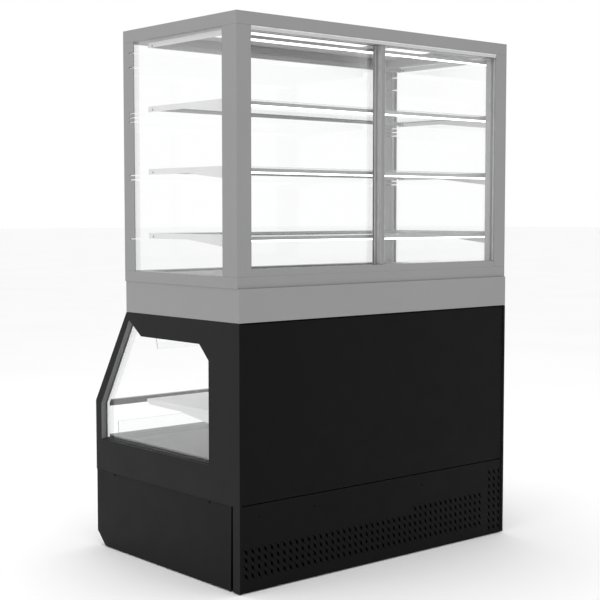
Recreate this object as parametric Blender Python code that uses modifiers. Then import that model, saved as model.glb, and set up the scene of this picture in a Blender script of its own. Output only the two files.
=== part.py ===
"""Refrigerated deli case: a self-service chilled well below and a glazed service cabinet above.

Metres, +Z up. The origin is on the floor, under the middle of the case. The customer stands on the
-Y side, the operator on the +Y side, and "right" is +X, the customer's right hand.
"""

import math

import bmesh
import bpy
from mathutils import Matrix, Vector

# ---------------------------------------------------------------- driving dimensions
WIDTH = 1.206            # lower unit, across both end panels
CABINET_WIDTH = 1.210    # glazed cabinet, across its posts
DEPTH = 0.810            # whole case, front to rear
HEIGHT = 1.750
COUNTER_Z = 0.825        # joint between the lower unit and the service cabinet
KNEE_Z = 0.507           # where the sloped open front meets the upright front
RAIL_Z = 0.505           # top of the rail on the low front glass
SEAM_Z = 0.2665          # joint between the body panels and the skirt
GAP = 0.0003             # clearance between pieces that touch
SEAM = 0.0008            # open seam over the skirt

FRONT = -DEPTH / 2
REAR = DEPTH / 2
COUNTER_FRONT = FRONT + 0.198
END_X = WIDTH / 2

# lower unit
END_THICK = 0.034
END_INNER = END_X - END_THICK
REAR_REVEAL = 0.0085     # width of the end panel's edge that shows beside the rear panel
LEG = 0.034              # rear leg of the end panel, beside the skirt
FLOOR_CLEAR = 0.003
TOE = 0.047              # chamfer at the foot of the front
DECK_Z = 0.386           # display deck, top face
WINDOW_SILL = 0.376
WINDOW_BORDER = 0.034
CANOPY_Z = 0.749         # underside of the air duct over the display
LOWER_SHELF_Z = 0.535
TUB_WALL = 0.037
TUB_FLOOR = 0.030
TUB_Z = 0.245
SHEET = 0.003
PANE = 0.006

# service cabinet
PLINTH_TOP = 0.928
FRAME_X = CABINET_WIDTH / 2
FRAME_REAR = REAR - 0.0065
FRAME_FRONT = FRAME_REAR - 0.608
POST = 0.055
SILL_TOP = 0.963
TRACK_TOP = 0.985
HEAD_Z = 1.711
REAR_FLANGE = 0.072
REAR_POST_DEEP = 0.047
FRONT_POST_DEEP = 0.060
REAR_PLATE = 0.012       # flange of the rear post beside the end glass
FRONT_PLATE = 0.003      # outer leg of the front post, outside the glass
DOOR_PLANES = {"left": FRAME_REAR - 0.0095, "right": FRAME_REAR - 0.0365}
DOOR_GLASS = 0.005
STILE = (0.016, 0.010)   # width and depth; the stile reaches 4 mm past its glass
SHELF_HEIGHTS = (1.089, 1.2975, 1.500)
CANOPY_FRAME_Z = 1.705
BRACKET_X = FRAME_X - 0.030
BRACKET_FRONT = FRAME_FRONT + 0.100
BRACKET_REAR = FRAME_REAR - REAR_POST_DEEP - GAP
SHELF_TAPER = (BRACKET_FRONT + BRACKET_REAR) / 2 - 0.015
LIGHT_TAPER = BRACKET_REAR - 0.060
RAIL_DEEP = 0.012

# machine compartment
CHASSIS_Z = 0.015
CHASSIS_RIM = 0.030
CHASSIS_FLOOR = 0.003
CHASSIS_X = 0.560
CHASSIS_FRONT = FRONT + 0.075
CHASSIS_REAR = REAR - 0.030
CONDENSER_X = 0.330

SIDES = {"left": -1.0, "right": 1.0}

# base colour, roughness, metallic, alpha
FINISHES = {
    "frame_grey": ((0.30, 0.30, 0.30), 0.42, 0.0, 1.0),
    "panel_black": ((0.024, 0.024, 0.024), 0.45, 0.0, 1.0),
    "grille_black": ((0.012, 0.012, 0.012), 0.50, 0.0, 1.0),
    "bracket_grey": ((0.66, 0.66, 0.66), 0.40, 0.0, 1.0),
    "liner_white": ((0.80, 0.80, 0.80), 0.40, 0.0, 1.0),
    "steel": ((0.56, 0.56, 0.56), 0.32, 1.0, 1.0),
    "aluminium": ((0.70, 0.70, 0.71), 0.35, 1.0, 1.0),
    "glass": ((0.90, 0.94, 0.94), 0.02, 0.0, 0.25),
    "acrylic": ((0.94, 0.95, 0.95), 0.05, 0.0, 0.30),
    "plastic_black": ((0.02, 0.02, 0.02), 0.40, 0.0, 1.0),
    "rubber": ((0.03, 0.03, 0.03), 0.80, 0.0, 1.0),
}


# ---------------------------------------------------------------- scene and finishes
def clear_scene():
    for obj in list(bpy.data.objects):
        bpy.data.objects.remove(obj, do_unlink=True)


def new_collection(name):
    collection = bpy.data.collections.new(name)
    bpy.context.scene.collection.children.link(collection)
    return collection


def finish(part, kind):
    """Gives the part a material of its own, from the values of its kind of finish."""
    colour, roughness, metallic, alpha = FINISHES[kind]
    material = bpy.data.materials.new(part.name + "_finish")
    material.use_nodes = True
    shader = material.node_tree.nodes["Principled BSDF"]
    shader.inputs["Base Color"].default_value = (*colour, 1.0)
    shader.inputs["Roughness"].default_value = roughness
    shader.inputs["Metallic"].default_value = metallic
    shader.inputs["Alpha"].default_value = alpha
    material.diffuse_color = (*colour, alpha)
    part.data.materials.clear()
    part.data.materials.append(material)
    return part


def link(obj, kind):
    """A kind of finish makes the object a part, and None makes it a cutter or a piece to be joined."""
    if kind is None:
        CUTTERS.objects.link(obj)
        obj.hide_render = True
        obj.display_type = "WIRE"
        return obj
    PARTS.objects.link(obj)
    return finish(obj, kind)


# ---------------------------------------------------------------- shapes
def cubes(name, boxes, kind=None):
    """One mesh of plain boxes, each given by its low and high corner."""
    low = Vector([min(box[0][i] for box in boxes) for i in range(3)])
    high = Vector([max(box[1][i] for box in boxes) for i in range(3)])
    middle = (low + high) / 2
    bm = bmesh.new()
    for corner, opposite in boxes:
        size = [b - a for a, b in zip(corner, opposite)]
        centre = (Vector(corner) + Vector(opposite)) / 2 - middle
        bmesh.ops.create_cube(bm, size=1.0, matrix=Matrix.LocRotScale(centre, None, size))
    mesh = bpy.data.meshes.new(name)
    bm.to_mesh(mesh)
    bm.free()
    obj = bpy.data.objects.new(name, mesh)
    obj.location = middle
    return link(obj, kind)


def box(name, low, high, kind=None):
    return cubes(name, [(low, high)], kind)


def rounded(obj, width, segments=2):
    bevel = obj.modifiers.new("edges", "BEVEL")
    bevel.width = width
    bevel.segments = segments
    bevel.limit_method = "ANGLE"
    return obj


def rectangle(u0, u1, v0, v1):
    return [(u0, v0), (u1, v0), (u1, v1), (u0, v1)]


def circle(u, v, radius, count=32):
    turns = [2 * math.pi * i / count for i in range(count)]
    return [(u + radius * math.cos(t), v + radius * math.sin(t)) for t in turns]


def inset(outline, distance):
    """The outline moved inward by the distance, with mitred corners, for a counter-clockwise outline."""
    moved = []
    count = len(outline)
    for i, point in enumerate(outline):
        before = Vector(point) - Vector(outline[i - 1])
        after = Vector(outline[(i + 1) % count]) - Vector(point)
        normals = [Vector((-edge.y, edge.x)).normalized() for edge in (before, after)]
        mitre = (normals[0] + normals[1]).normalized()
        moved.append(tuple(Vector(point) + mitre * distance / mitre.dot(normals[0])))
    return moved


TURNS = {"X": (math.pi / 2, 0, math.pi / 2), "Y": (math.pi / 2, 0, 0), "Z": (0, 0, 0)}


def slab(name, outline, axis, low, high, kind=None, holes=()):
    """A flat outline, with holes, drawn in YZ, XZ or XY and thickened along the axis from low to high."""
    curve = bpy.data.curves.new(name, "CURVE")
    curve.dimensions = "2D"
    curve.fill_mode = "BOTH"
    curve.extrude = (high - low) / 2
    for points in (outline, *holes):
        spline = curve.splines.new("POLY")
        spline.points.add(len(points) - 1)
        for point, (u, v) in zip(spline.points, points):
            point.co = (u, v, 0.0, 1.0)
        spline.use_cyclic_u = True
    obj = bpy.data.objects.new(name, curve)
    obj.rotation_euler = TURNS[axis]
    obj.location["XYZ".index(axis)] = (low + high) / 2
    return link(obj, kind)


def as_mesh(curve_object, kind=None):
    """A mesh object in place of the curve object, closed, so that it can be cut, joined or bevelled."""
    name = curve_object.name
    bpy.context.view_layer.update()
    graph = bpy.context.evaluated_depsgraph_get()
    mesh = bpy.data.meshes.new_from_object(curve_object.evaluated_get(graph))
    bm = bmesh.new()
    bm.from_mesh(mesh)
    bmesh.ops.remove_doubles(bm, verts=bm.verts, dist=0.00001)
    bmesh.ops.recalc_face_normals(bm, faces=bm.faces)
    bm.to_mesh(mesh)
    bm.free()
    place = curve_object.matrix_world.copy()
    bpy.data.objects.remove(curve_object)
    obj = bpy.data.objects.new(name, mesh)
    obj.matrix_world = place
    return link(obj, kind)


def combine(obj, other, operation):
    modifier = obj.modifiers.new(operation.lower(), "BOOLEAN")
    modifier.operation = operation
    modifier.solver = "EXACT"
    modifier.object = other
    return obj


def cut(obj, cutter):
    return combine(obj, cutter, "DIFFERENCE")


def join(obj, other):
    return combine(obj, other, "UNION")


def turned(name, profile, place, axis, kind=None, steps=32):
    """A profile of (radius, height) pairs, top to bottom, turned about the local Z, set along the axis."""
    mesh = bpy.data.meshes.new(name)
    points = [(radius, 0.0, height) for radius, height in profile]
    mesh.from_pydata(points, [(i, i + 1) for i in range(len(points) - 1)], [])
    obj = bpy.data.objects.new(name, mesh)
    screw = obj.modifiers.new("turn", "SCREW")
    screw.steps = steps
    screw.render_steps = steps
    screw.use_merge_vertices = True
    screw.merge_threshold = 0.00001
    obj.location = place
    if axis == "Y":
        obj.rotation_euler = (-math.pi / 2, 0, 0)
    link(obj, kind)
    return obj


def parented(name, place, parts):
    empty = bpy.data.objects.new(name, None)
    empty.location = place
    PARTS.objects.link(empty)
    bpy.context.view_layer.update()
    for part in parts:
        part.parent = empty
        part.matrix_parent_inverse = empty.matrix_world.inverted()


# ---------------------------------------------------------------- lower unit: body
def body_outline():
    """End panel with its rear leg, in the YZ plane, counter-clockwise."""
    return [
        (REAR - LEG, FLOOR_CLEAR),
        (REAR, FLOOR_CLEAR),
        (REAR, COUNTER_Z - GAP),
        (COUNTER_FRONT, COUNTER_Z - GAP),
        (FRONT, KNEE_Z),
        (FRONT, SEAM_Z),
        (REAR - LEG, SEAM_Z),
    ]


def window_outline():
    """End window, in the YZ plane, counter-clockwise: it follows the slope, the duct and the back wall."""
    front = FRONT + WINDOW_BORDER
    rear = REAR - 0.155
    chamfer = 0.048
    return [
        (front, WINDOW_SILL),
        (rear, WINDOW_SILL),
        (rear, CANOPY_Z - chamfer),
        (rear - chamfer, CANOPY_Z),
        (COUNTER_FRONT + 0.0855, CANOPY_Z),
        (COUNTER_FRONT + 0.015, CANOPY_Z + 0.050),
        (front, KNEE_Z - 0.008),
    ]


def end_pieces(side, sign):
    """End panel, its window pane and the skirt panel under it."""
    inner, outer = sorted((sign * END_INNER, sign * END_X))
    panel = slab(
        "end_panel_" + side, body_outline(), "X", inner, outer, holes=[window_outline()]
    )
    panel = as_mesh(panel, "panel_black")
    rebate = sorted((sign * (END_INNER - 0.010), sign * (END_X - REAR_REVEAL)))
    notch = box(
        "rear_rebate_" + side,
        (rebate[0], REAR - 0.0215, 0.0),
        (rebate[1], REAR + 0.010, COUNTER_Z + 0.010),
    )
    cut(panel, notch)

    pane = sorted((sign * (END_X - 0.025), sign * (END_X - 0.025 + PANE)))
    slab("end_window_" + side, inset(window_outline(), 0.0005), "X", *pane, kind="glass")

    skirt = [
        (FRONT + TOE + 0.003, FLOOR_CLEAR),
        (REAR - LEG - 0.014, FLOOR_CLEAR),
        (REAR - LEG - 0.010, SEAM_Z - SEAM),
        (FRONT, SEAM_Z - SEAM),
        (FRONT, TOE + 0.003),
    ]
    faces = sorted((sign * (END_X - 0.018), sign * (END_X - 0.002)))
    slab("end_skirt_" + side, skirt, "X", *faces, kind="panel_black")


def rear_pieces():
    half = END_X - REAR_REVEAL - 0.001
    thick = 0.015
    rear_face = REAR - 0.003
    rear_panel = box(
        "rear_panel",
        (-half, rear_face - thick, SEAM_Z + 0.005),
        (half, rear_face, COUNTER_Z - 0.004),
        "grille_black",
    )
    rounded(rear_panel, 0.0012)
    rear_grille = box(
        "rear_grille",
        (-half, rear_face - thick, FLOOR_CLEAR),
        (half, rear_face, SEAM_Z + 0.002),
        "grille_black",
    )
    rounded(rear_grille, 0.0012)


def front_pieces():
    """Upright front: panel, vented kick plate, low glass and the rail along its top."""
    half = END_INNER - 0.0005
    thick = 0.015
    front_panel = box(
        "front_panel",
        (-half, FRONT, SEAM_Z + 0.001),
        (half, FRONT + thick, WINDOW_SILL - 0.001),
        "panel_black",
    )
    rounded(front_panel, 0.0012)

    plate = 0.012
    turn = plate * math.tan(math.pi / 8)
    kick = [
        (FRONT, TOE + 0.003),
        (FRONT + TOE, FLOOR_CLEAR),
        (FRONT + TOE + plate * math.sqrt(2), FLOOR_CLEAR),
        (FRONT + plate, TOE + 0.003 + turn),
        (FRONT + plate, SEAM_Z - SEAM),
        (FRONT, SEAM_Z - SEAM),
    ]
    kick_half = END_X - 0.0185
    kick_grille = as_mesh(slab("kick_grille", kick, "X", -kick_half, kick_half), "grille_black")
    slots = []
    for group in (-0.30, 0.30):
        for row in range(8):
            z = 0.085 + 0.018 * row
            slots.append(((group - 0.16, FRONT - 0.01, z), (group + 0.16, FRONT + 0.03, z + 0.007)))
    cut(kick_grille, cubes("kick_slots", slots))

    glass_y = FRONT + 0.006
    glass_top = RAIL_Z - 0.0085
    box(
        "front_glass_lower",
        (-half, glass_y, WINDOW_SILL),
        (half, glass_y + PANE, glass_top),
        "glass",
    )
    rail = box(
        "front_glass_rail",
        (-half, FRONT + 0.001, RAIL_Z - 0.020),
        (half, FRONT + 0.023, RAIL_Z),
        "frame_grey",
    )
    slot = box(
        "rail_slot",
        (-END_X, glass_y - GAP, RAIL_Z - 0.025),
        (END_X, glass_y + PANE + GAP, glass_top + GAP),
    )
    cut(rail, slot)


def tub():
    """Insulated well: front wall, floor and back wall in one foamed shell."""
    inner_rear = REAR - 0.070
    outer_rear = inner_rear + 0.043
    outer_front = FRONT + 0.0155
    top_front = DECK_Z - 0.0035
    section = [
        (outer_front, TUB_Z),
        (outer_rear, TUB_Z),
        (outer_rear, 0.7965),
        (inner_rear, 0.7965),
        (inner_rear, TUB_Z + TUB_FLOOR),
        (outer_front + TUB_WALL, TUB_Z + TUB_FLOOR),
        (outer_front + TUB_WALL, top_front),
        (outer_front, top_front),
    ]
    half = END_INNER - 0.0005
    return as_mesh(slab("tub", section, "X", -half, half), "liner_white")


def counter_top():
    half = END_INNER - 0.0005
    top = box(
        "counter_top",
        (-half, COUNTER_FRONT + 0.002, 0.797),
        (half, REAR - 0.0215, COUNTER_Z - GAP),
        "panel_black",
    )
    return rounded(top, 0.0010)


# ---------------------------------------------------------------- lower unit: display space
def air_duct():
    """Perforated back sheet, duct sheet over the display with its sloped outlet, and the clear vane."""
    half = END_INNER - 0.0085
    back_y = REAR - 0.1155
    box(
        "back_duct_panel",
        (-half, back_y, DECK_Z + GAP),
        (half, back_y + SHEET, CANOPY_Z - GAP),
        "liner_white",
    )
    lip = COUNTER_FRONT + 0.0855
    nose = COUNTER_FRONT + 0.019
    nose_z = CANOPY_Z + 0.0475
    rise = Vector((lip - nose, CANOPY_Z - nose_z)).normalized() * SHEET
    section = [
        (nose, nose_z - 0.0005),
        (lip, CANOPY_Z),
        (back_y + 0.0035, CANOPY_Z),
        (back_y + 0.0035, CANOPY_Z + SHEET),
        (lip + 0.0015, CANOPY_Z + SHEET),
        (nose - rise.y * 1.2, nose_z - 0.0005),
    ]
    slab("canopy", section, "X", -half, half, kind="liner_white")
    vane_y = COUNTER_FRONT + 0.112
    lean = [
        (vane_y + 0.0012, CANOPY_Z - 0.0415),
        (vane_y + 0.0052, CANOPY_Z - 0.0415),
        (vane_y - 0.0068, CANOPY_Z - GAP),
        (vane_y - 0.0108, CANOPY_Z - GAP),
    ]
    slab("air_deflector", lean, "X", -half + 0.004, half - 0.004, kind="acrylic")


def display_deck():
    half = END_INNER - 0.0085
    grille_rear = FRONT + 0.160
    box(
        "return_air_grille",
        (-half, FRONT + 0.0175, DECK_Z - SHEET),
        (half, grille_rear, DECK_Z),
        "steel",
    )
    box(
        "deck_pan",
        (-half, grille_rear + 0.001, DECK_Z - SHEET),
        (half, REAR - 0.1120, DECK_Z),
        "steel",
    )
    riser_y = FRONT + 0.075
    box(
        "product_riser",
        (-half, riser_y - 0.002, DECK_Z + GAP),
        (half, riser_y + 0.002, DECK_Z + 0.052),
        "acrylic",
    )


def lower_shelf():
    """Steel shelf with a tapered bracket under each end."""
    half = END_INNER - 0.0105
    front = FRONT + 0.250
    rear = REAR - 0.1160
    shelf = box(
        "lower_shelf", (-half, front, LOWER_SHELF_Z - 0.012), (half, rear, LOWER_SHELF_Z), "bracket_grey"
    )
    arm = [
        (rear - 0.001, LOWER_SHELF_Z - 0.055),
        (rear - 0.001, LOWER_SHELF_Z - 0.006),
        (front + 0.010, LOWER_SHELF_Z - 0.006),
        (front + 0.010, LOWER_SHELF_Z - 0.018),
        (front + 0.190, LOWER_SHELF_Z - 0.022),
    ]
    for side, sign in SIDES.items():
        faces = sorted((sign * (half - 0.001), sign * (half - 0.005)))
        join(shelf, as_mesh(slab("lower_shelf_arm_" + side, arm[::-1], "X", *faces)))
    return shelf


# ---------------------------------------------------------------- fans and cooling
def fan(name, origin, radius, hub_radius, depth, chord, kind="plastic_black"):
    """Five pitched blades on a hub that turns about the Y axis through the object's origin."""
    hub = turned(
        name,
        [(0.0, depth / 2), (hub_radius, depth / 2), (hub_radius, -depth / 2), (0.0, -depth / 2)],
        origin,
        "Y",
        kind,
        steps=20,
    )
    bm = bmesh.new()
    count = 5
    length = radius - hub_radius * 0.6
    reach = (radius + hub_radius * 0.6) / 2
    for i in range(count):
        spin = Matrix.Rotation(2 * math.pi * i / count, 4, "Z")
        pitch = Matrix.Rotation(math.radians(32), 4, "X")
        size = Matrix.Diagonal((length, chord, 0.002, 1.0))
        place = spin @ Matrix.Translation((reach, 0, 0)) @ pitch @ size
        bmesh.ops.create_cube(bm, size=1.0, matrix=place)
    mesh = bpy.data.meshes.new(name + "_blades")
    bm.to_mesh(mesh)
    bm.free()
    blades = bpy.data.objects.new(name + "_blades", mesh)
    blades.location = origin
    blades.rotation_euler = hub.rotation_euler
    link(blades, None)
    return join(hub, blades)


def motor_mount(plate, centre, reach, depth, motor_radius, motor_length):
    """Joins a strap on two legs, with the motor in its middle, to the +Y side of a fan plate."""
    x, y, z = centre
    strap = 0.004
    legs = [
        ((x - reach - strap, y - 0.001, z - 0.010), (x - reach + strap, y + depth, z + 0.010)),
        ((x + reach - strap, y - 0.001, z - 0.010), (x + reach + strap, y + depth, z + 0.010)),
    ]
    name = f"{plate.name}_{'low' if x < 0 else 'high'}"
    join(plate, cubes(name + "_legs", legs))
    bar = box(
        name + "_strap",
        (x - reach, y + depth - strap, z - 0.009),
        (x + reach, y + depth - 0.0005, z + 0.009),
    )
    join(plate, bar)
    motor = turned(
        name + "_motor",
        [
            (0.0, motor_length / 2),
            (motor_radius, motor_length / 2),
            (motor_radius, -motor_length / 2),
            (0.0, -motor_length / 2),
        ],
        (x, y + depth, z),
        "Y",
        steps=20,
    )
    join(plate, motor)


def evaporator():
    """Cooling coil under the deck, behind a plate that holds the two circulation fans."""
    floor = TUB_Z + TUB_FLOOR + GAP
    box("evaporator_coil", (-0.45, FRONT + 0.350, floor), (0.45, REAR - 0.190, DECK_Z - 0.014), "aluminium")
    half = END_INNER - 0.0085
    plate_y = FRONT + 0.150
    centre_z = (floor + DECK_Z) / 2
    hole = 0.045
    spread = 0.250
    top = DECK_Z - SHEET - GAP
    plate = slab(
        "evaporator_fan_plate",
        rectangle(-half, half, floor, top),
        "Y",
        plate_y,
        plate_y + SHEET,
        holes=[circle(sign * spread, centre_z, hole, 24)[::-1] for sign in SIDES.values()],
    )
    plate = as_mesh(plate, "liner_white")
    for side, sign in SIDES.items():
        place = (sign * spread, plate_y + SHEET, centre_z)
        motor_mount(plate, place, 0.052, 0.040, 0.018, 0.030)
        fan_place = (sign * spread, plate_y + 0.010, centre_z)
        fan("evaporator_fan_" + side, fan_place, hole - 0.004, 0.014, 0.016, 0.022)


def condenser():
    floor = CHASSIS_Z + CHASSIS_FLOOR + GAP
    low, high = CONDENSER_X - 0.150, CONDENSER_X + 0.150
    front = FRONT + 0.180
    top = 0.228
    box("condenser_coil", (low, front, floor), (high, front + 0.044, top), "aluminium")
    centre_z = 0.124
    plate_y = front + 0.050
    plate = slab(
        "condenser_shroud",
        rectangle(low, high, floor, top),
        "Y",
        plate_y,
        plate_y + SHEET,
        holes=[circle(CONDENSER_X, centre_z, 0.092)[::-1]],
    )
    plate = as_mesh(plate, "steel")
    motor_mount(plate, (CONDENSER_X, plate_y + SHEET, centre_z), 0.105, 0.062, 0.030, 0.044)
    fan("condenser_fan", (CONDENSER_X, plate_y + 0.020, centre_z), 0.086, 0.026, 0.026, 0.046)


def compressor():
    """Welded steel pot on a base plate."""
    radius, low, high = 0.074, 0.024, 0.190
    x, y = -0.270, 0.060
    arc = [math.radians(90 - 15 * i) for i in range(7)]
    crown = [(radius * math.cos(a), high - 0.060 + 0.060 * math.sin(a)) for a in arc]
    profile = [(0.0, high)] + crown[1:]
    profile += [
        (radius, 0.112),
        (radius + 0.005, 0.112),
        (radius + 0.005, 0.106),
        (radius, 0.106),
        (radius, low + 0.018),
        (radius - 0.020, low),
        (0.0, low),
    ]
    pot = turned("compressor", profile, (x, y, 0.0), "Z", "plastic_black", steps=28)
    base_z = CHASSIS_Z + CHASSIS_FLOOR + GAP
    foot_plate = box("compressor_base", (x - 0.100, y - 0.080, base_z), (x + 0.100, y + 0.080, low + 0.004))
    return join(pot, foot_plate)


def condensate_pan():
    low = (-0.100, 0.200, CHASSIS_Z + CHASSIS_FLOOR + GAP)
    high = (0.160, 0.340, 0.070)
    pan = box("condensate_pan", low, high, "plastic_black")
    hollow = box(
        "condensate_hollow",
        (low[0] + SHEET, low[1] + SHEET, low[2] + SHEET),
        (high[0] - SHEET, high[1] - SHEET, high[2] + 0.010),
    )
    return cut(pan, hollow)


def controls():
    """Electrical box behind the rear grille, with its rocker power switch."""
    low = (-0.500, 0.230, CHASSIS_Z + CHASSIS_FLOOR + GAP)
    high = (-0.320, 0.335, 0.180)
    case = box("control_box", low, high, "steel")
    pivot = ((low[0] + high[0]) / 2, high[1] - 0.0045, 0.140)
    pocket = box(
        "switch_pocket",
        (pivot[0] - 0.0075, high[1] - 0.013, pivot[2] - 0.0125),
        (pivot[0] + 0.0075, high[1] + 0.010, pivot[2] + 0.0125),
    )
    cut(case, pocket)

    tilt = math.radians(8)
    rise = 0.0105 * math.tan(tilt)
    rocker = [
        (-0.0035, -0.0085),
        (0.0035 + rise, -0.0105),
        (0.0035, 0.0),
        (0.0035 + rise, 0.0105),
        (-0.0035, 0.0085),
    ]
    switch = slab("power_switch", rocker, "X", -0.0065, 0.0065, kind="plastic_black")
    switch.location = pivot
    switch.rotation_euler[1] = -tilt
    return switch


# ---------------------------------------------------------------- chassis
def chassis():
    """Welded tray with four uprights that carry the tub, and the four levelling feet under it."""
    tray = box(
        "chassis",
        (-CHASSIS_X, CHASSIS_FRONT, CHASSIS_Z),
        (CHASSIS_X, CHASSIS_REAR, CHASSIS_Z + CHASSIS_RIM),
        "steel",
    )
    well = box(
        "chassis_well",
        (-CHASSIS_X + CHASSIS_RIM, CHASSIS_FRONT + CHASSIS_RIM, CHASSIS_Z + CHASSIS_FLOOR),
        (CHASSIS_X - CHASSIS_RIM, CHASSIS_REAR - CHASSIS_RIM, CHASSIS_Z + 0.100),
    )
    cut(tray, well)
    uprights = []
    for x in (-CHASSIS_X + 0.002, CHASSIS_X - CHASSIS_RIM + 0.002):
        for y in (CHASSIS_FRONT + 0.002, CHASSIS_REAR - CHASSIS_RIM + 0.002):
            corner = (x, y, CHASSIS_Z + 0.010)
            uprights.append((corner, (x + CHASSIS_RIM - 0.004, y + CHASSIS_RIM - 0.004, TUB_Z - GAP)))
    join(tray, cubes("chassis_uprights", uprights))

    foot = [
        (0.0, CHASSIS_Z - GAP),
        (0.008, CHASSIS_Z - GAP),
        (0.008, 0.009),
        (0.020, 0.007),
        (0.022, 0.004),
        (0.022, 0.0),
        (0.0, 0.0),
    ]
    for side, sign in SIDES.items():
        for end, y in (("front", CHASSIS_FRONT + 0.040), ("rear", CHASSIS_REAR - 0.040)):
            turned(f"foot_{end}_{side}", foot, (sign * 0.500, y, 0.0), "Z", "rubber", steps=20)


# ---------------------------------------------------------------- service cabinet
def plinth():
    """Housing between the counter and the glazed cabinet, open below."""
    housing = box(
        "base_housing",
        (-END_X, COUNTER_FRONT, COUNTER_Z + GAP),
        (END_X, REAR, PLINTH_TOP - GAP),
        "frame_grey",
    )
    wall = 0.020
    hollow = box(
        "housing_hollow",
        (-END_X + wall, COUNTER_FRONT + wall, COUNTER_Z - 0.050),
        (END_X - wall, REAR - wall, PLINTH_TOP - 0.010),
    )
    return cut(housing, hollow)


def door_grooves(name, low, high):
    """Cutter for the two running grooves of a door track."""
    boxes = []
    for plane in DOOR_PLANES.values():
        half = DOOR_GLASS / 2 + 0.001
        boxes.append(((-FRAME_X, plane - half, low), (FRAME_X, plane + half, high)))
    return cubes(name, boxes)


def cabinet_frame():
    opening = (FRAME_X - POST, FRAME_FRONT + 0.058, FRAME_REAR - REAR_FLANGE)
    track_x = FRAME_X - POST - 0.0005
    track_front = FRAME_REAR - REAR_POST_DEEP
    track_rear = FRAME_REAR - 0.001

    sill = box(
        "bottom_frame",
        (-FRAME_X, FRAME_FRONT, PLINTH_TOP),
        (FRAME_X, FRAME_REAR, SILL_TOP),
        "frame_grey",
    )
    cut(
        sill,
        box(
            "sill_opening",
            (-opening[0], opening[1], PLINTH_TOP - 0.1),
            (opening[0], opening[2], SILL_TOP + 0.1),
        ),
    )
    join(
        sill,
        box("sill_track", (-track_x, track_front, SILL_TOP - 0.010), (track_x, track_rear, TRACK_TOP)),
    )
    cut(sill, door_grooves("sill_grooves", TRACK_TOP - 0.0093, TRACK_TOP + 0.010))

    head = box("top_frame", (-FRAME_X, FRAME_FRONT, HEAD_Z), (FRAME_X, FRAME_REAR, HEIGHT), "frame_grey")
    cut(
        head,
        box(
            "head_hollow",
            (-opening[0], opening[1], HEAD_Z - 0.1),
            (opening[0], opening[2], HEIGHT - 0.008),
        ),
    )
    track = box(
        "door_track_top",
        (-track_x, track_front, HEAD_Z - 0.013),
        (track_x, track_rear, HEAD_Z - GAP),
        "aluminium",
    )
    cut(track, door_grooves("head_grooves", HEAD_Z - 0.050, HEAD_Z - 0.004))


def posts():
    low, high = SILL_TOP + GAP, HEAD_Z - GAP
    for side, sign in SIDES.items():
        inner, outer, plate = FRAME_X - POST, FRAME_X, FRAME_X - REAR_PLATE
        flange = FRAME_REAR - REAR_FLANGE
        body = FRAME_REAR - REAR_POST_DEEP
        section = [
            (sign * inner, FRAME_REAR),
            (sign * inner, body),
            (sign * plate, body),
            (sign * plate, flange),
            (sign * outer, flange),
            (sign * outer, FRAME_REAR),
        ]
        slab("rear_post_" + side, section[:: int(sign)], "Z", low, high, kind="frame_grey")

        rear_edge, web = FRAME_FRONT + FRONT_POST_DEEP, FRAME_FRONT + 0.0075
        leg = FRAME_X - 0.0130
        channel = [
            (sign * outer, FRAME_FRONT),
            (sign * outer, rear_edge),
            (sign * (outer - FRONT_PLATE), rear_edge),
            (sign * (outer - FRONT_PLATE), web + 0.002),
            (sign * (leg + 0.0015), web + 0.002),
            (sign * (leg + 0.0015), rear_edge - 0.0185),
            (sign * leg, rear_edge - 0.0185),
            (sign * leg, web),
            (sign * (outer - FRONT_PLATE), web),
            (sign * (outer - FRONT_PLATE), FRAME_FRONT),
        ]
        post = as_mesh(slab("front_post_" + side, channel[:: int(sign)], "Z", low, high), "frame_grey")
        outside = sorted((sign * (outer - 0.006), sign * (outer + 0.010)))
        inside = sorted((sign * (leg - 0.010), sign * (outer - 0.006)))
        slots = []
        for z in slot_heights():
            slots.append(((outside[0], rear_edge - 0.027, z - 0.002), (outside[1], rear_edge + 0.010, z + 0.002)))
            slots.append(((inside[0], rear_edge - 0.042, z - 0.002), (inside[1], rear_edge - 0.010, z + 0.002)))
        cut(post, cubes(post.name + "_slots", slots))


def slot_heights():
    """Heights of the bracket slots: two below the light frame and up to three below each shelf."""
    heights = [CANOPY_FRAME_Z - 0.030, CANOPY_FRAME_Z - 0.077]
    for count, shelf in zip((1, 2, 3), SHELF_HEIGHTS):
        heights += [shelf - 0.014 * (i + 1) - 0.006 for i in range(count)]
    return heights


def cabinet_glass():
    low, high = SILL_TOP + 0.0005, HEAD_Z - 0.0005
    inner = FRAME_X - FRONT_PLATE - 0.0005
    box(
        "front_glass_upper",
        (-inner, FRAME_FRONT + 0.001, low),
        (inner, FRAME_FRONT + 0.001 + PANE, high),
        "glass",
    )
    for side, sign in SIDES.items():
        faces = sorted((sign * (FRAME_X - 0.011), sign * (FRAME_X - 0.011 + PANE)))
        box(
            "end_glass_" + side,
            (faces[0], FRAME_FRONT + 0.0100, low),
            (faces[1], FRAME_REAR - REAR_FLANGE - 0.0005, high),
            "glass",
        )


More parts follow.
